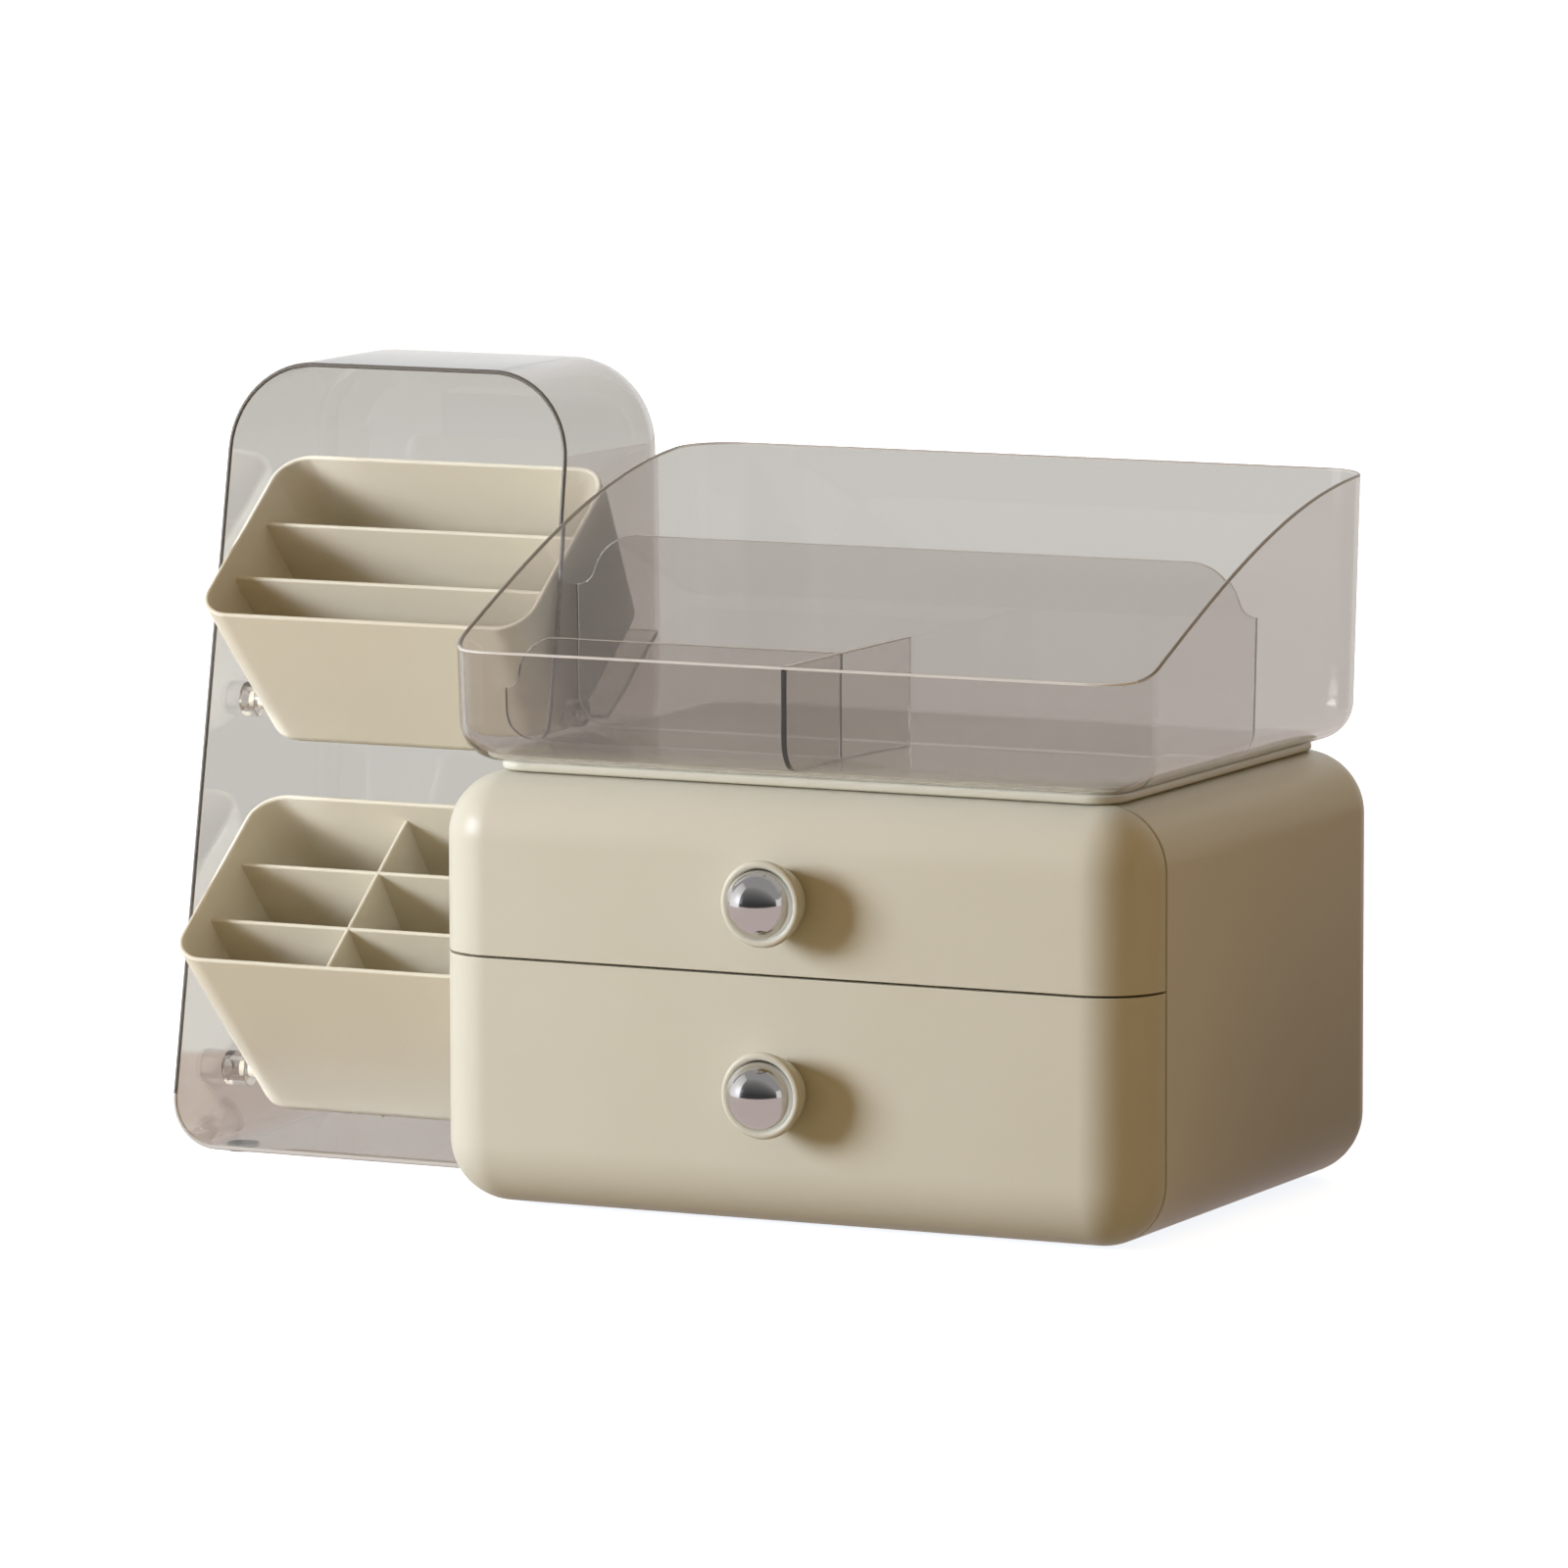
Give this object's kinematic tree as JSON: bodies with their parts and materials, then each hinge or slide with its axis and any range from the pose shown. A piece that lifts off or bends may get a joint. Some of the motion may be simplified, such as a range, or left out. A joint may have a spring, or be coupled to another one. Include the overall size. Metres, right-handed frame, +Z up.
{
  "type": "makeup organizer",
  "caption": "Cabinet with rounded drawers, a clear divided lift-off tray on top, and a clear side rack holding tilting divided bins.",
  "frame": {"origin": "middle of the footprint, on the table under the feet", "axes": "+X to the right seen from the front, from the rack to the cabinet; the drawer fronts face -Y; +Z up"},
  "size_m": [0.4287, 0.2472, 0.2916],
  "materials": {
    "cream_gloss": "gloss",
    "beige_bin": "satin",
    "smoke_clear": "clear, smoke tinted",
    "chrome_dome": "mirror",
    "steel_screw": "plain",
    "rubber_foot": "matte"
  },
  "bodies": {
    "cabinet": {"cabinet_shell": "beige_bin", "cabinet_shelf": "beige_bin", "cabinet_foot_1": "rubber_foot", "cabinet_foot_2": "rubber_foot", "cabinet_foot_3": "rubber_foot", "cabinet_foot_4": "rubber_foot"},
    "upper_drawer": {"upper_drawer_box": "cream_gloss", "upper_drawer_front": "cream_gloss", "upper_knob_cup": "cream_gloss", "upper_knob_dome": "chrome_dome", "upper_knob_screw": "steel_screw"},
    "lower_drawer": {"lower_drawer_box": "cream_gloss", "lower_drawer_front": "cream_gloss", "lower_knob_cup": "cream_gloss", "lower_knob_dome": "chrome_dome", "lower_knob_screw": "steel_screw"},
    "tray": {"top_tray": "smoke_clear", "rear_divider": "smoke_clear", "front_divider": "smoke_clear", "centre_divider": "smoke_clear"},
    "rack": {"rack_shell": "smoke_clear", "rack_foot_1": "rubber_foot", "rack_foot_2": "rubber_foot", "rack_foot_3": "rubber_foot", "rack_foot_4": "rubber_foot"},
    "upper_bin": {"upper_bin": "beige_bin"},
    "lower_bin": {"lower_bin": "beige_bin"}
  },
  "joints": [
    {"name": "upper_drawer_slide", "type": "slide", "parent": "cabinet", "child": "upper_drawer", "axis": [0, -1, 0], "range_m": [0, 0.15]},
    {"name": "lower_drawer_slide", "type": "slide", "parent": "cabinet", "child": "lower_drawer", "axis": [0, -1, 0], "range_m": [0, 0.15]},
    {"name": "tray_lift", "type": "slide", "parent": "cabinet", "child": "tray", "axis": [0, 0, 1], "range_m": [0, 0.06]},
    {"name": "rack_shift", "type": "slide", "parent": "cabinet", "child": "rack", "axis": [-1, 0, 0], "range_m": [0, 0.05]},
    {"name": "upper_bin_tip", "type": "hinge", "parent": "rack", "child": "upper_bin", "pos_m": [-0.1403, 0.03501, 0.16337], "axis": [1, 0, 0], "range_deg": [0, 25]},
    {"name": "lower_bin_tip", "type": "hinge", "parent": "rack", "child": "lower_bin", "pos_m": [-0.1403, 0.02216, 0.02504], "axis": [1, 0, 0], "range_deg": [0, 25]}
  ]
}
